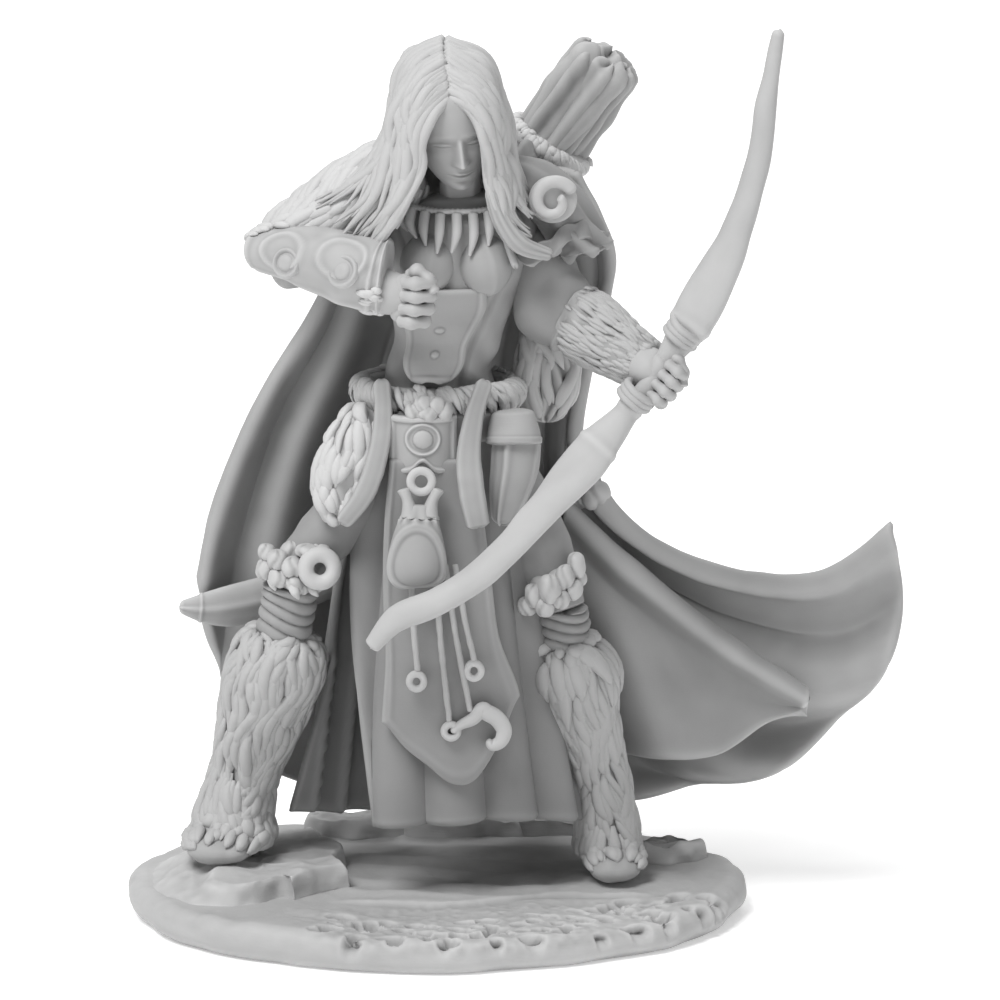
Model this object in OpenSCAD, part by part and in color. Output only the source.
// Unpainted 28 mm scale archer figure on an oval rocky base, built up from
// its separate castings. Millimetres. +Z is up, the archer faces -Y, and the
// origin is the middle of the flat underside of the base.

/* [Base] */
// Width of the oval base, side to side
base_width = 25; // [24:0.5:28]
// Depth of the oval base, front to back
base_depth = 20.8; // [20:0.5:24]
// Height of the base's top above the table
base_height = 1.6; // [1.4:0.1:1.8]
// Height of the stone slab above the base's top
slab_rise = 0.75; // [0.6:0.05:0.75]

/* [Cloth] */
// Thickness of the cast cloak
cloak_thick = 0.5; // [0.4:0.05:0.6]
// Thickness of the cast skirt and tabard
skirt_thick = 0.4; // [0.3:0.05:0.5]
// Depth of the cloak's folds at the hem
fold_depth = 0.9; // [0.4:0.1:1.2]

/* [Joints] */
// Diameter of the locating pegs
peg_d = 0.9; // [0.7:0.1:1]
// Radial gap round each peg in its socket
peg_gap = 0.05; // [0.03:0.01:0.08]

/* [Bow] */
// Thickness of the bow's limbs from belly to back
bow_thick = 0.85; // [0.7:0.05:1]

/* [Hidden] */
$fn = 32;
step = 0.001;               // parameter step for tangents and normals
slab_top = base_height + slab_rise;
peg_r = peg_d / 2;
peg_depth = 0.8;            // how far a foot peg enters the base
right_peg = [-7.9, 0.4];    // where each foot peg stands, seen from above
left_peg = [6.9, 0.2];

// ---- Shape tools ------------------------------------------------------

function unit(v) = v / norm(v);
function mix(a, b, t) = a + (b - a) * t;

// Smooth curve through a list of points or numbers, t from 0 to 1
function curve(p, t) =
    let (
        n = len(p) - 1,
        s = max(0, min(t * n, n - 0.000001)),
        i = floor(s),
        f = s - i,
        a = p[max(i - 1, 0)],
        b = p[i],
        c = p[i + 1],
        d = p[min(i + 2, n)]
    )
    0.5 * (2 * b + (c - a) * f + (2 * a - 5 * b + 4 * c - d) * f * f
        + (3 * b - a - 3 * c + d) * f * f * f);

// Triangles of a grid of rows x cols points whose columns wrap round
function wrapped_faces(rows, cols) = [
    for (i = [0 : rows - 2], j = [0 : cols - 1], k = [0, 1])
        let (a = i * cols + j, b = i * cols + (j + 1) % cols)
        k == 0 ? [a, b, b + cols] : [a, b + cols, a + cols]
];

// Solid of elliptical rings along a curve; up sets which way is thickness
module tube(path, widths, thicks, up = [0, -1, 0], rings = 12, sides = 16) {
    points = [
        for (i = [0 : rings], j = [0 : sides - 1])
            let (
                t = i / rings,
                along = unit(curve(path, t + step) - curve(path, t - step)),
                side = unit(cross(along, up)),
                rise = cross(side, along),
                a = 360 * j / sides
            )
            curve(path, t) + side * curve(widths, t) * cos(a)
                + rise * curve(thicks, t) * sin(a)
    ];
    last = rings * sides;
    polyhedron(points, concat(
        wrapped_faces(rings + 1, sides),
        [[for (j = [sides - 1 : -1 : 0]) j]],
        [[for (j = [0 : sides - 1]) last + j]]
    ));
}

// Closed band of rectangular section round an ellipse in the XY plane
module band(centre, rx, ry, high, thick, lean = 0, sides = 40) {
    section = [[0, -high / 2], [thick, -high / 2], [thick, high / 2], [0, high / 2]];
    points = [
        for (i = [0 : sides - 1], s = section)
            let (a = 360 * i / sides)
            centre + [(rx + s[0]) * cos(a), (ry + s[0]) * sin(a), s[1] + lean * cos(a)]
    ];
    polyhedron(points, [
        for (i = [0 : sides - 1], j = [0 : 3], k = [0, 1])
            let (
                a = i * 4 + j,
                b = i * 4 + (j + 1) % 4,
                c = ((i + 1) % sides) * 4 + (j + 1) % 4,
                d = ((i + 1) % sides) * 4 + j
            )
            k == 0 ? [a, b, c] : [a, c, d]
    ]);
}

// Sheet of even thickness over a surface p(u, v), u and v from 0 to 1
module sheet(p, thick, nu, nv) {
    normal = function(u, v)
        let (
            u0 = max(u - step, 0), u1 = min(u + step, 1),
            v0 = max(v - step, 0), v1 = min(v + step, 1)
        )
        unit(cross(p(u1, v) - p(u0, v), p(u, v1) - p(u, v0)));
    row = nv + 1;
    count = (nu + 1) * row;
    front = [for (i = [0 : nu], j = [0 : nv])
        let (u = i / nu, v = j / nv) p(u, v) + normal(u, v) * thick / 2];
    back = [for (i = [0 : nu], j = [0 : nv])
        let (u = i / nu, v = j / nv) p(u, v) - normal(u, v) * thick / 2];
    cells = [for (i = [0 : nu - 1], j = [0 : nv - 1], k = [0, 1])
        let (a = i * row + j, b = a + row, c = b + 1, d = a + 1)
        k == 0 ? [a, b, c] : [a, c, d]];
    rim = concat(
        [for (i = [0 : nu]) i * row],
        [for (j = [1 : nv]) nu * row + j],
        [for (i = [nu - 1 : -1 : 0]) i * row + nv],
        [for (j = [nv - 1 : -1 : 1]) j]
    );
    n = len(rim);
    polyhedron(concat(front, back), concat(
        [for (f = cells) [f[2], f[1], f[0]]],
        [for (f = cells) [f[0] + count, f[1] + count, f[2] + count]],
        [for (i = [0 : n - 1], k = [0, 1])
            let (a = rim[i], b = rim[(i + 1) % n])
            k == 0 ? [a, b, b + count] : [a, b + count, a + count]]
    ));
}

// Puts its children with their Z axis along the line from a to b, at a
module along(a, b) {
    d = b - a;
    translate(a)
        rotate([0, acos(d[2] / norm(d)), atan2(d[1], d[0])])
            children();
}

// Hull of balls: each entry is [centre, radius]
module lump(balls, fn = 16) {
    hull() for (b = balls) translate(b[0]) sphere(r = b[1], $fn = fn);
}

// ---- Base -------------------------------------------------------------

// Uneven oval outline, scaled from the full width and depth
function oval(k) = [for (a = [0 : 10 : 350])
    let (r = k * (1 + 0.012 * sin(3 * a + 40) + 0.008 * sin(7 * a)))
    [base_width / 2 * r * cos(a), base_depth / 2 * r * sin(a)]];

// Oval plinth with a flat underside and a socket for each foot peg
module base() {
    color("darkgray")
        difference() {
            union() {
                linear_extrude(base_height * 0.62) polygon(oval(0.99));
                linear_extrude(base_height) polygon(oval(0.95));
            }
            translate([right_peg[0], right_peg[1], base_height - peg_depth])
                cylinder(r = peg_r + peg_gap, h = peg_depth + 1);
            translate([left_peg[0], left_peg[1], base_height - peg_depth])
                cylinder(r = peg_r + peg_gap, h = peg_depth + 1);
        }
}

// Broken flat slab that the right foot stands on
module stone_slab() {
    color("darkgray")
        difference() {
            translate([0, 0, base_height])
                linear_extrude(slab_rise)
                    polygon([[-10.7, -2.6], [-7.6, -4.6], [-4.9, -4.7], [-3.6, -3.4],
                        [-4.2, 0.4], [-5.0, 4.0], [-8.2, 5.2], [-10.6, 3.4]]);
            translate([right_peg[0], right_peg[1], base_height - 1])
                cylinder(r = peg_r + peg_gap, h = slab_rise + 2);
        }
}

// Low stones at the back and right of the base
module base_rocks() {
    color("darkgray")
        for (s = [[[9.4, 3.2, base_height], 1.5, 1.2, 0.45], [[1.8, 7.6, base_height], 2.2, 1.1, 0.4],
                [[-3.6, 7.4, base_height], 1.6, 1.0, 0.5]])
            translate(s[0]) linear_extrude(s[3])
                polygon([for (a = [0 : 40 : 320]) [s[1] * cos(a), s[2] * sin(a)]]);
}

// ---- Legs -------------------------------------------------------------

// Fur boot: a shaft along its path and a foot, with a peg under it
module boot(shaft, widths, heel, toe, sole, peg) {
    difference() {
        union() {
            tube(shaft, widths, widths, up = [0, -1, 0], rings = 10, sides = 16);
            tube([heel, mix(heel, toe, 0.5), toe], [0.8, 1.15, 0.7], [0.75, 0.85, 0.55],
                up = [0, 0, 1], rings = 6, sides = 14);
        }
        translate([-20, -20, sole - 5]) cube([40, 40, 5]);
    }
    translate([peg[0], peg[1], base_height - peg_depth + peg_gap])
        cylinder(r = peg_r, h = sole + 1 - base_height + peg_depth - peg_gap);
}

module right_boot() {
    color("gray")
        boot([[-5.95, -1.1, 11.5], [-6.2, -0.9, 10.3], [-6.7, -0.4, 8.3], [-7.4, 0.1, 6.0],
            [-7.8, 0.3, 4.2],
                [-8.1, 0.2, 2.5]],
            [1.3, 1.8, 1.7, 1.6, 1.7, 1.8], [-7.7, 1.7, 3.1], [-9.0, -1.9, 2.95], slab_top, right_peg);
}

module left_boot() {
    color("gray")
        boot([[5.3, -0.95, 11.1], [5.6, -0.8, 10.0], [6.0, -0.5, 8.0], [6.5, -0.1, 5.8],
            [6.75, 0.1, 3.8],
                [6.85, 0.1, 1.9]],
            [1.15, 1.5, 1.4, 1.3, 1.35, 1.45], [6.8, 1.3, 2.3], [7.2, -2.2, 2.2],
                base_height, left_peg);
}

// Cloth strips wound round the leg below the knee: three turns on one sleeve
module leg_wrap(bottom, top, r) {
    long = norm(top - bottom);
    turn = long / 6;
    along(bottom, top)
        union() {
            cylinder(r = r, h = long);
            for (k = [0 : 2])
                translate([0, 0, turn * (2 * k + 1)])
                    rotate_extrude() translate([r - turn * 0.35, 0]) circle(r = turn * 0.85);
        }
}

module right_leg_wrap() { color("lightgray") leg_wrap([-5.95, -1.15, 11.4], [-5.7, -1.35, 13.6],
    0.95); }
module left_leg_wrap() { color("lightgray") leg_wrap([5.3, -0.95, 11.0], [5.1, -1.1, 12.6], 0.9); }

// Bunched fur tie in front of each knee
module right_knee_tie() {
    color("lightgray")
        lump([[[-6.25, -1.9, 14.7], 0.7], [[-5.5, -2.2, 14.2], 0.75], [[-4.9, -1.9, 14.6], 0.7]]);
}

// Round toggle with a hole, on the front of the right knee
module knee_ring() {
    color("silver")
        translate([-4.5, -2.75, 14.6]) rotate([84, 0, 8])
            rotate_extrude() translate([0.55, 0]) circle(r = 0.32);
}

module left_knee_tie() {
    color("lightgray")
        lump([[[4.0, -1.9, 13.2], 0.6], [[4.7, -2.2, 13.6], 0.75], [[5.3, -1.8, 14.3], 0.65]]);
}

module right_thigh() {
    color("gray")
        tube([[-1.0, 0.4, 18.6], [-3.0, -0.5, 17.0], [-5.1, -1.2, 14.8], [-5.7, -1.35, 13.5]],
            [1.4, 1.4, 1.2, 0.95], [1.4, 1.4, 1.2, 0.95]);
}

module left_thigh() {
    color("gray")
        tube([[1.9, 0.5, 18.6], [3.4, 0.0, 16.4], [4.6, -0.8, 14.0], [5.1, -1.1, 12.6]],
            [1.4, 1.35, 1.15, 0.9], [1.4, 1.35, 1.15, 0.9]);
}

// ---- Skirt and what hangs from the belt --------------------------------

waist_z = 19.8;
hem_z = 4.3;
skirt_ry = function(v) 2.3 + 1.05 * v;

// Skirt from the belt to the hem, open over the right leg
skirt_at = function(u, v)
    let (
        start = -80 + 54 * pow(v, 0.7),
        a = mix(start, 236, u),
        fold = 0.32 * pow(v, 1.2) * sin(a * 6 + 30),
        rx = 3.0 + 2.7 * pow(v, 0.85) + fold,
        ry = skirt_ry(v) + fold,
        middle = mix([0.1, 0.3], [0.1, 0.2], v)
    )
    [middle[0] + rx * sin(a), middle[1] - ry * cos(a), mix(waist_z, hem_z, v)];

module skirt() { color("dimgray") sheet(skirt_at, skirt_thick, 44, 10); }

// Long front panel with a pointed end
tabard_at = function(u, v)
    let (
        left = curve([-1.7, -1.9, -2.0, -2.05], v),
        right = curve([1.5, 1.9, 2.4, 3.4], v),
        end_z = curve([8.5, 7.4, 6.6, 6.1, 7.4, 9.3], u),
        z = mix(19.0, end_z, v),
        skirt_v = (waist_z - z) / (waist_z - hem_z)
    )
    [mix(left, right, u), 0.3 - skirt_ry(skirt_v) - 0.75 + 0.12 * cos(360 * u) * v, z];

module tabard() { color("gray") sheet(tabard_at, skirt_thick, 12, 12); }

// Thongs that hang down the tabard: [top x, low x, low z]
thong_ends = [[-0.9, -0.63, 10.85], [0.2, 0.75, 9.1], [0.4, 1.4, 9.6], [0.8, 1.54, 11.25]];
thong_y = -4.05;

module tabard_thongs() {
    color("gray")
        for (t = thong_ends)
            tube([[t[0], thong_y + 0.35, 15.0], [mix(t[0], t[1], 0.5), thong_y + 0.1, mix(15.0, t[2],
                0.5)],
                [t[1], thong_y, t[2]]], [0.13, 0.13, 0.13], [0.13, 0.13, 0.13], up = [0, -1, 0],
                    rings = 5, sides = 8);
}

// Small ring on the end of each short thong
module thong_rings() {
    color("silver")
        for (t = [thong_ends[0], thong_ends[3]])
            translate([t[1], thong_y, t[2] - 0.5]) rotate([90, 0, 0])
                rotate_extrude() translate([0.3, 0]) circle(r = 0.15);
}

// Flat hook-shaped charm on the two long thongs
module hook_charm() {
    color("silver")
        translate([2.1, thong_y, 8.5]) rotate([90, 0, 0]) {
            rotate([0, 0, -100]) rotate_extrude(angle = 200) translate([0.72, 0]) circle(r = 0.24);
            translate([-0.2, 0.72, 0]) rotate([0, -90, 10]) cylinder(r = 0.24, h = 1.1);
            translate([-1.35, 0.52, 0]) rotate_extrude() translate([0.3, 0]) circle(r = 0.17);
        }
}

belt_mid = [0.1, 0.3, 20.1];

module belt() { color("dimgray") band(belt_mid, 2.75, 2.15, 1.3, 0.55); }
module belt_fur() { color("lightgray") band(belt_mid + [0.05, 0, 1.1], 2.35, 1.8, 0.9, 0.85); }

// Curved plate on the front of the belt
module buckle_plate() {
    color("silver")
        translate([-0.42, -1.55, 18.5])
            intersection() {
                difference() {
                    cylinder(r = 1.75, h = 2.2);
                    translate([0, 0, -1]) cylinder(r = 1.35, h = 4);
                }
                translate([-1.3, -3, -1]) cube([2.6, 2.1, 4]);
            }
}

// Ring under the buckle plate, for the pouch
module buckle_ring() {
    color("silver")
        translate([-0.48, -3.7, 18.3]) rotate([90, 0, 0])
            rotate_extrude() translate([0.42, 0]) circle(r = 0.17);
}

module pouch_neck() {
    color("gray")
        tube([[-0.5, -3.75, 17.95], [-0.55, -3.85, 17.4], [-0.6, -4.0, 16.9]], [0.9, 0.5, 0.75],
            [0.35, 0.35, 0.5],
            rings = 6, sides = 14);
}

// Flat-fronted drawstring pouch, fullest near the bottom
module pouch() {
    color("gray")
        tube([[-0.6, -4.0, 16.9], [-0.63, -4.15, 16.1], [-0.65, -4.25, 15.1], [-0.65, -4.2, 14.2]],
            [0.75, 1.0, 1.18, 0.75], [0.45, 0.7, 0.8, 0.45], rings = 8, sides = 16);
}

// Stiff hanging straps: each is a flat tapering tongue
module left_hip_strap() {
    color("gray")
        tube([[2.0, -2.2, 22.0], [1.55, -2.9, 20.7], [1.4, -3.6, 18.9], [1.75, -3.9, 16.5]],
            [0.3, 0.45, 0.5, 0.42], [0.2, 0.24, 0.24, 0.2], rings = 8, sides = 12);
}

module right_hip_strap() {
    color("gray")
        tube([[-2.0, -2.0, 22.0], [-2.0, -2.8, 20.2], [-2.3, -3.2, 18.4], [-3.4, -3.1, 16.6]],
            [0.26, 0.4, 0.5, 0.45], [0.2, 0.24, 0.28, 0.22], rings = 8, sides = 12);
}

// Pelt that hangs over the right hip
module hip_pelt() {
    color("lightgray")
        tube([[-2.6, -1.5, 20.8], [-3.1, -1.9, 19.4], [-3.8, -2.2, 18.0], [-3.5, -2.4, 16.5]],
            [0.5, 0.95, 1.0, 0.5], [0.5, 0.8, 0.75, 0.4], rings = 8, sides = 14);
}

// Long case on the left hip, with its lid
module hip_bag() {
    color("gray")
        tube([[3.3, -2.4, 19.7], [3.2, -2.6, 18.6], [2.9, -2.8, 17.4], [2.7, -2.9, 16.4]],
            [0.95, 0.95, 0.75, 0.35], [0.6, 0.6, 0.45, 0.25], up = [-0.2, -1, 0],
                rings = 8, sides = 14);
}

module hip_bag_flap() {
    color("lightgray")
        tube([[3.1, -2.25, 20.8], [3.15, -2.4, 20.2], [3.15, -2.5, 19.5]], [0.9, 1.15, 1.1],
            [0.5, 0.8, 0.8],
            up = [-0.2, -1, 0], rings = 4, sides = 14);
}

// Short sword slung behind the hips
sword_line = [[-10.2, 1.6, 12.1], [-8.0, 2.2, 12.0], [-5.8, 2.9, 12.4], [-2.0, 4.0, 13.7],
    [2.0, 4.1, 15.0],
    [5.0, 3.9, 15.9]];

module scabbard() {
    color("gray") tube(sword_line, [0.12, 0.85, 0.9, 0.75, 0.7, 0.7], [0.1, 0.35, 0.4, 0.4, 0.4, 0.4],
        up = [0, 1, 0], rings = 16);
}

module sword_hilt() {
    color("lightgray") {
        tube([[4.7, 3.9, 15.8], [5.0, 3.86, 15.9]], [1.0, 1.0], [0.4, 0.4], up = [0, 1, 0], rings = 2);
        tube([[5.0, 3.86, 15.9], [5.7, 3.6, 16.1], [6.3, 3.3, 16.3]], [0.35, 0.4, 0.35],
            [0.35, 0.4, 0.35],
            up = [0, 1, 0], rings = 4);
        translate([6.45, 3.2, 16.35]) sphere(r = 0.6);
    }
}

// ---- Torso -------------------------------------------------------------

// Body from the hips to the base of the neck, with sockets for the head
// and both arms
neck_peg = [1.05, 0.0, 28.1];
right_shoulder = [[-0.9, 0.2, 27.2], [-2.4, 0.2, 27.2]];    // ends of each arm's peg
left_shoulder = [[3.2, 0.3, 27.2], [4.8, 0.3, 27.2]];

module arm_peg(p) { along(p[0], p[1]) cylinder(r = peg_r, h = norm(p[1] - p[0])); }

module torso() {
    color("gray")
        difference() {
            tube([[0.2, 0.35, 18.4], [0.1, 0.3, 20.2], [0.25, 0.25, 22.2], [0.7, 0.15, 24.4],
                [1.0, 0.05, 26.6],
                    [1.1, 0.15, 28.2], [1.05, 0.2, 29.2]],
                [2.6, 2.6, 2.0, 2.4, 3.0, 2.9, 1.2], [2.0, 2.0, 1.6, 1.75, 1.95, 1.6, 1.0],
                    rings = 18, sides = 20);
            translate(neck_peg) cylinder(r = peg_r + peg_gap, h = 3);
            for (p = [right_shoulder, left_shoulder])
                along(p[0], p[1]) translate([0, 0, -peg_gap]) cylinder(r = peg_r + peg_gap, h = 3);
        }
}

// Long rounded tongue down the front of the bodice
bodice_at = function(u, v)
    let (
        s = 2 * u - 1,
        half = curve([1.5, 1.4, 1.15, 1.2, 0.55], v),
        bulge = curve([-1.95, -1.85, -1.6, -1.65, -1.95], v)
    )
    [-0.1 + 0.6 * (1 - v) + s * half, bulge - 0.25 + 0.4 * s * s, mix(25.6, 21.9, v)];

module bodice_panel() { color("gray") sheet(bodice_at, 0.3, 10, 12); }

module bust() {
    color("gray")
        for (x = [-0.3, 2.1])
            lump([[[x, -1.5, 26.3], 1.05], [[x, -1.2, 27.3], 0.6]]);
}

// Row of claws on a cord round the neck
claw_count = 7;
module claw_necklace() {
    color("lightgray")
        for (k = [0 : claw_count - 1])
            let (a = mix(-62, 62, k / (claw_count - 1)), top = [0.9 + 2.3 * sin(a),
                0.1 - 1.75 * cos(a), 28.8])
            tube([top, top + [0.12 * sin(a), -0.5, -0.8], top + [-0.15 * sin(a), -0.75, -1.7]],
                [0.24, 0.2, 0.06],
                [0.2, 0.18, 0.06], rings = 5, sides = 8);
}

// ---- Head --------------------------------------------------------------

head_mid = [1.1, -0.85, 32.1];

// Head bowed a little, with a neck that ends in a peg
module head() {
    color("lightgray") {
        lump([[head_mid + [0, 0.1, 0.6], 1.75], [head_mid + [0, -0.7, -1.3], 0.95],
            [head_mid + [0, -0.9, 0.1], 1.2]], 24);
        translate(neck_peg + [0, 0, 1.15]) cylinder(r = 0.85, h = 1.8);
        translate(neck_peg + [0, 0, 0.1]) cylinder(r = peg_r, h = 1.2);
    }
}

// Long hair over the crown and down the back
module hair() {
    color("lightgray")
        difference() {
            tube([[1.0, -0.3, 35.55], [1.0, -0.4, 34.9], [1.0, -0.3, 33.3], [0.8, 0.3, 31.3],
                [0.2, 1.0, 29.3],
                    [-0.6, 1.35, 27.3]],
                [0.5, 1.9, 2.35, 2.4, 2.3, 0.9], [0.5, 2.0, 2.4, 1.8, 1.0, 0.4],
                    rings = 14, sides = 20);
            lump([[head_mid + [0, 0.1, 0.6], 1.8], [head_mid + [0, -1.3, -1.0], 1.3],
                [head_mid + [0, -1.6, 0.4], 1.2]]);
            translate([1.05, -1.6, 28.4]) cylinder(r = 1.9, h = 2.4);
            translate([1.05, 0.1, 26]) cylinder(r = 1.25, h = 5);
        }
}

// End of the hair, hanging behind the left elbow
module hair_tail() {
    color("lightgray")
        tube([[4.6, 1.1, 24.0], [4.5, 1.0, 22.5], [4.4, 0.8, 21.0], [4.3, 0.7, 19.8]],
            [0.8, 1.2, 1.15, 0.45], [0.6, 0.85, 0.8, 0.4], rings = 8, sides = 14);
}

module right_hair_lock() {
    color("lightgray")
        tube([[0.4, -2.4, 34.4], [-0.9, -2.6, 32.7], [-1.35, -2.75, 31.0], [-1.6, -2.95, 29.3],
            [-2.5, -3.0, 27.6]],
            [0.5, 0.8, 0.65, 0.5, 0.15], [0.3, 0.45, 0.4, 0.35, 0.12]);
}

module left_hair_lock() {
    color("lightgray")
        tube([[1.5, -2.5, 34.2], [2.6, -2.3, 32.6], [2.8, -2.45, 30.9], [2.9, -2.6, 29.0],
            [3.7, -2.5, 27.7],
                [4.7, -2.3, 27.0]],
            [0.4, 0.65, 0.55, 0.5, 0.45, 0.3], [0.3, 0.4, 0.35, 0.35, 0.3, 0.2]);
}

// ---- Shoulders and cloak ------------------------------------------------

// Fur over the right shoulder and upper arm
module fur_mantle() {
    color("lightgray")
        tube([[-0.7, 0.4, 30.0], [-2.3, 0.3, 29.3], [-4.0, -0.1, 28.2], [-5.6, -0.5, 27.4],
            [-6.7, -0.8, 26.9]],
            [1.0, 1.8, 1.7, 1.3, 0.6], [1.2, 1.95, 1.85, 1.3, 0.6], up = [0, 0, 1]);
}

// Folded cloth over the left shoulder
module shoulder_cape() {
    color("gray")
        tube([[3.1, 0.2, 29.6], [4.3, -0.1, 29.2], [5.3, -0.2, 28.2], [5.7, -0.3, 26.9]],
            [1.3, 1.8, 1.9, 1.7], [0.8, 1.3, 1.5, 1.3], up = [0, 0, 1], rings = 8);
}

// Scroll-shaped clasp on the cape
module cape_clasp() {
    color("silver")
        translate([4.7, -1.85, 29.2]) rotate([78, 0, 12]) {
            rotate([0, 0, 70]) rotate_extrude(angle = 270) translate([0.68, 0]) circle(r = 0.26);
            sphere(r = 0.35);
        }
}

// The cloak's four edges: along the shoulders, down each side and the hem
cloak_top = [[-3.9, 1.7, 27.2], [-1.6, 2.8, 29.0], [1.0, 3.1, 29.5], [3.4, 2.8, 29.8],
    [5.6, 1.7, 29.6]];
cloak_left = [[-3.9, 1.7, 27.2], [-4.3, 2.1, 24.0], [-5.7, 2.4, 21.4], [-7.1, 2.6, 18.7],
    [-8.5, 2.7, 15.8],
    [-9.4, 2.7, 13.0]];
cloak_right = [[5.6, 1.7, 29.6], [7.0, 2.2, 26.0], [6.1, 3.0, 21.8], [5.5, 3.4, 18.4], [6.8, 3.2, 15.9],
    [9.2, 2.7, 14.1], [12.4, 2.1, 13.2], [15.6, 1.7, 13.4], [18.2, 1.4, 15.4]];
cloak_hem = [[-9.4, 2.7, 13.0], [-7.7, 4.0, 8.2], [-5.2, 5.4, 4.4], [-1.6, 6.2, 3.4], [2.2, 6.5, 3.2],
    [6.0, 6.0, 3.2],
    [10.2, 4.8, 3.6], [14.2, 3.6, 5.1], [17.3, 2.6, 8.1], [18.7, 1.8, 11.6], [18.2, 1.4, 15.4]];

cloak_at = function(u, v)
    let (
        blend = mix(curve(cloak_top, u), curve(cloak_hem, u), v) + mix(curve(cloak_left, v),
            curve(cloak_right, v), u)
            - mix(mix(cloak_top[0], cloak_right[0], u), mix(cloak_hem[0], cloak_hem[10], u), v),
        deep = fold_depth * pow(v, 1.3) * sin(180 * u) * cos(360 * 6.5 * u)
    )
    blend + [0, deep + 0.5 * sin(180 * u) * sin(180 * v), 0];

module cloak() { color("dimgray") sheet(cloak_at, cloak_thick, 60, 16); }

// Deep front fold of the cloak: where it leaves the sheet, its crest and hem
pleat_root = [[5.0, 3.5, 17.0], [8.4, 3.0, 13.9], [12.2, 2.5, 12.0], [15.6, 2.2, 10.2]];
pleat_crest = [[5.2, 2.7, 15.9], [8.2, 1.7, 13.3], [11.4, 0.9, 11.1], [14.8, 0.3, 8.8]];
pleat_hem = [[6.4, 3.4, 6.0], [9.1, 2.3, 5.9], [11.6, 1.3, 6.2], [14.6, 0.4, 8.0]];

pleat_at = function(u, v) curve([curve(pleat_root, u), curve(pleat_crest, u), curve(pleat_hem, u)], v);

module cloak_pleat() { color("dimgray") sheet(pleat_at, cloak_thick, 24, 12); }

// ---- Arms ---------------------------------------------------------------

module right_upper_arm() {
    color("gray") {
        tube([[-1.9, 0.2, 27.2], [-3.8, -0.2, 26.9], [-6.2, -0.9, 26.4]], [1.1, 1.15, 1.0],
            [1.1, 1.15, 1.0],
            up = [0, 0, 1], rings = 6);
        arm_peg(right_shoulder);
    }
}

vambrace_line = [[-7.0, -1.0, 26.4], [-5.6, -1.9, 26.7], [-3.7, -2.8, 26.5], [-2.0, -3.5, 26.0]];

module right_vambrace() {
    color("lightgray")
        tube(vambrace_line, [0.8, 1.3, 1.35, 1.05], [0.95, 1.45, 1.45, 1.2], up = [0, 0, 1], rings = 8);
}

// Two round bosses on the outside of the vambrace
module vambrace_bosses() {
    color("silver")
        for (k = [[-6.05, -2.85, 26.8], [-4.4, -3.75, 26.5]])
            translate(k) rotate([82, 0, -28]) cylinder(r1 = 0.72, r2 = 0.45, h = 0.5, center = true);
}

// A closed fist: palm and four curled fingers in one lump
module fist(palm, knuckles, r) {
    lump([[palm, r], [knuckles[0], r * 0.62], [knuckles[1], r * 0.62]]);
}

module right_hand() {
    color("lightgray") fist([-1.1, -3.9, 25.8], [[-0.45, -4.3, 26.4], [-0.55, -4.3, 25.2]], 1.1);
}

module left_sleeve() {
    color("gray") {
        tube([[5.2, 0.4, 27.6], [5.0, 0.0, 26.0], [4.8, -0.5, 24.6], [5.3, -1.0, 23.6]],
            [1.0, 1.5, 1.75, 1.3],
            [1.1, 1.4, 1.45, 1.2], rings = 8);
        arm_peg(left_shoulder);
    }
}

module left_bracer() {
    color("lightgray")
        tube([[5.7, -1.1, 24.1], [6.9, -2.0, 23.7], [8.0, -2.9, 23.0]], [1.2, 1.3, 1.0],
            [1.25, 1.35, 1.05],
            up = [0, 0, 1], rings = 6);
}

module left_hand() {
    color("lightgray")
        difference() {
            fist([8.75, -3.5, 22.5], [[9.3, -4.3, 22.8], [8.8, -4.4, 22.0]], 1.15);
            tube(bow_line, bow_wide * 1.06, bow_deep * 1.06, up = [0.6, 1, -0.4],
                rings = 24, sides = 12);
        }
}

// ---- Bow ----------------------------------------------------------------

bow_line = [[13.4, -2.9, 36.1], [12.95, -3.0, 33.4], [12.6, -3.1, 30.9], [11.6, -3.4, 27.8],
    [10.3, -3.7, 25.2],
    [9.0, -3.95, 23.1], [7.5, -4.3, 21.2], [6.1, -4.7, 19.6], [4.2, -5.2, 17.4], [2.2, -5.5, 15.3],
        [0.2, -5.7, 14.0],
    [-1.4, -5.8, 13.3], [-2.4, -5.9, 12.2]];
bow_wide = [0.3, 0.45, 0.6, 0.75, 1.0, 0.42, 0.5, 1.0, 0.75, 0.65, 0.58, 0.5, 0.35];
bow_deep = [0.25, 0.34, 0.4, 0.44, 0.44, 0.42, 0.42, 0.44, 0.42, 0.4, 0.38, 0.35,
    0.25] * bow_thick / 0.85;

module bow() {
    color("lightgray") tube(bow_line, bow_wide, bow_deep, up = [0.6, 1, -0.4], rings = 36, sides = 12);
}

// Cord wound round the bow just above and below the hand
module bow_grip() {
    color("gray")
        for (at = [[9.75, -3.82, 24.25], [8.0, -4.16, 21.85]])
            along(at, at + [0.45, -0.1, 0.6])
                difference() {
                    cylinder(r = 0.85, h = 0.5, center = true);
                    cylinder(r = 0.62, h = 1, center = true);
                }
}

// ---- Quiver ---------------------------------------------------------------

quiver_line = [[0.0, 5.7, 22.6], [1.6, 5.5, 25.2], [3.2, 5.2, 27.9], [4.7, 4.9, 30.4]];
quiver_way = unit([0.56, -0.06, 0.83]);

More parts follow.
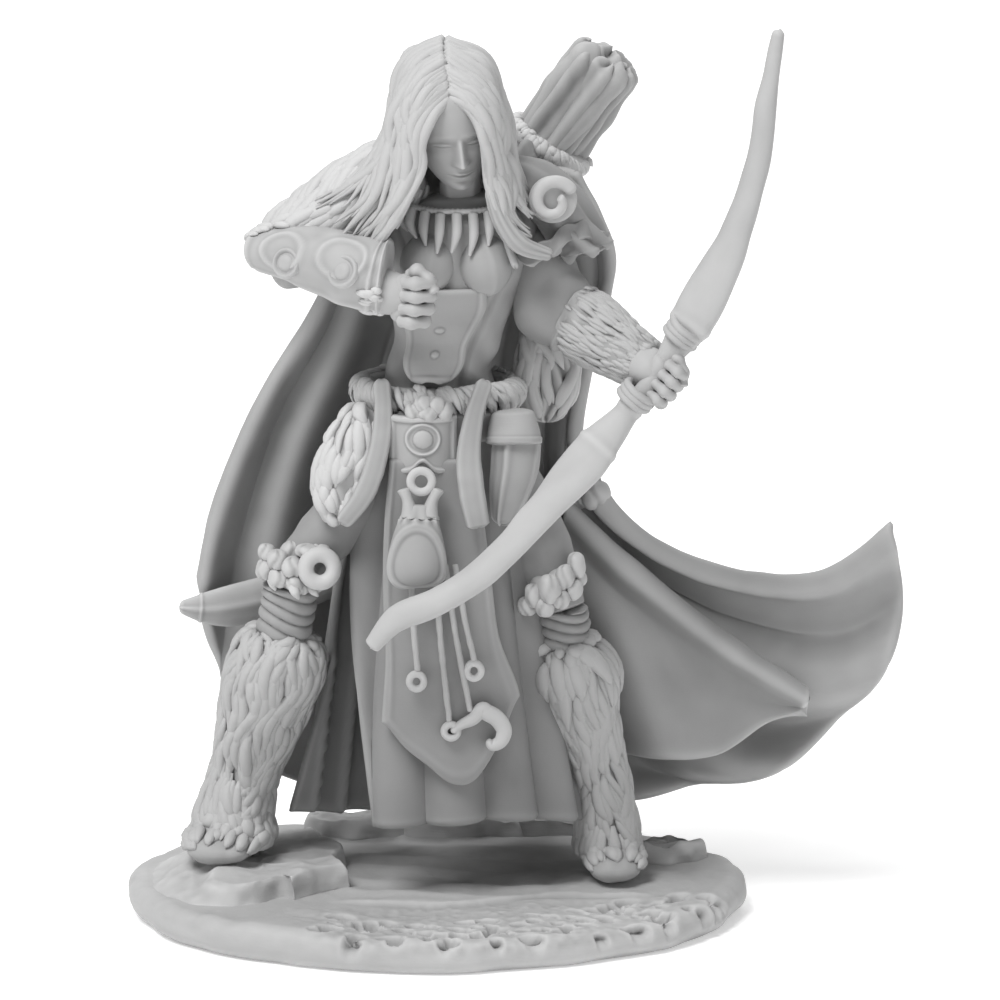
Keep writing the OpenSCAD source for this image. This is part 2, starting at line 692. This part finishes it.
module quiver() {
    color("gray")
        difference() {
            tube(quiver_line, [0.9, 1.3, 1.5, 1.6], [0.9, 1.3, 1.5, 1.6]);
            along(quiver_line[3] - quiver_way, quiver_line[3]) cylinder(r = 1.4, h = 4);
        }
}

// Rolled fur round the quiver's mouth
module quiver_rim() {
    color("lightgray")
        along(quiver_line[3] - 0.3 * quiver_way, quiver_line[3])
            rotate_extrude() translate([1.6, 0]) circle(r = 0.3);
}

// Bundle of fletched arrow ends standing in the quiver, round a middle one
arrow_count = 6;
module arrows() {
    color("lightgray")
        along(quiver_line[3] - 0.8 * quiver_way, quiver_line[3])
            for (k = [0 : arrow_count])
                rotate([0, 0, k * 360 / arrow_count]) translate([k == arrow_count ? 0 : 0.95, 0, 0]) {
                    cylinder(r = 0.44, h = 4.6);
                    translate([0, 0, 4.6]) sphere(r = 0.44);
                }
}

// Strap from the quiver over the left shoulder to the belt
module quiver_strap() {
    color("gray")
        tube([[4.0, 3.9, 29.9], [3.7, 2.2, 30.5], [3.2, 0.3, 30.2], [2.6, -1.6, 28.6],
            [3.2, -2.3, 26.6]],
            [0.4, 0.4, 0.4, 0.4, 0.4], [0.15, 0.15, 0.15, 0.15, 0.15], up = [1, 0, 0.3],
                rings = 10, sides = 10);
}

base();
stone_slab();
base_rocks();
right_boot();
left_boot();
right_leg_wrap();
left_leg_wrap();
right_knee_tie();
knee_ring();
left_knee_tie();
right_thigh();
left_thigh();
skirt();
tabard();
tabard_thongs();
thong_rings();
hook_charm();
belt();
belt_fur();
buckle_plate();
buckle_ring();
pouch();
pouch_neck();
right_hip_strap();
left_hip_strap();
hip_pelt();
hip_bag();
hip_bag_flap();
scabbard();
sword_hilt();
torso();
bodice_panel();
bust();
claw_necklace();
head();
hair();
right_hair_lock();
left_hair_lock();
hair_tail();
fur_mantle();
shoulder_cape();
cape_clasp();
cloak();
cloak_pleat();
right_upper_arm();
right_vambrace();
vambrace_bosses();
right_hand();
left_sleeve();
left_bracer();
left_hand();
bow();
bow_grip();
quiver();
quiver_rim();
arrows();
quiver_strap();
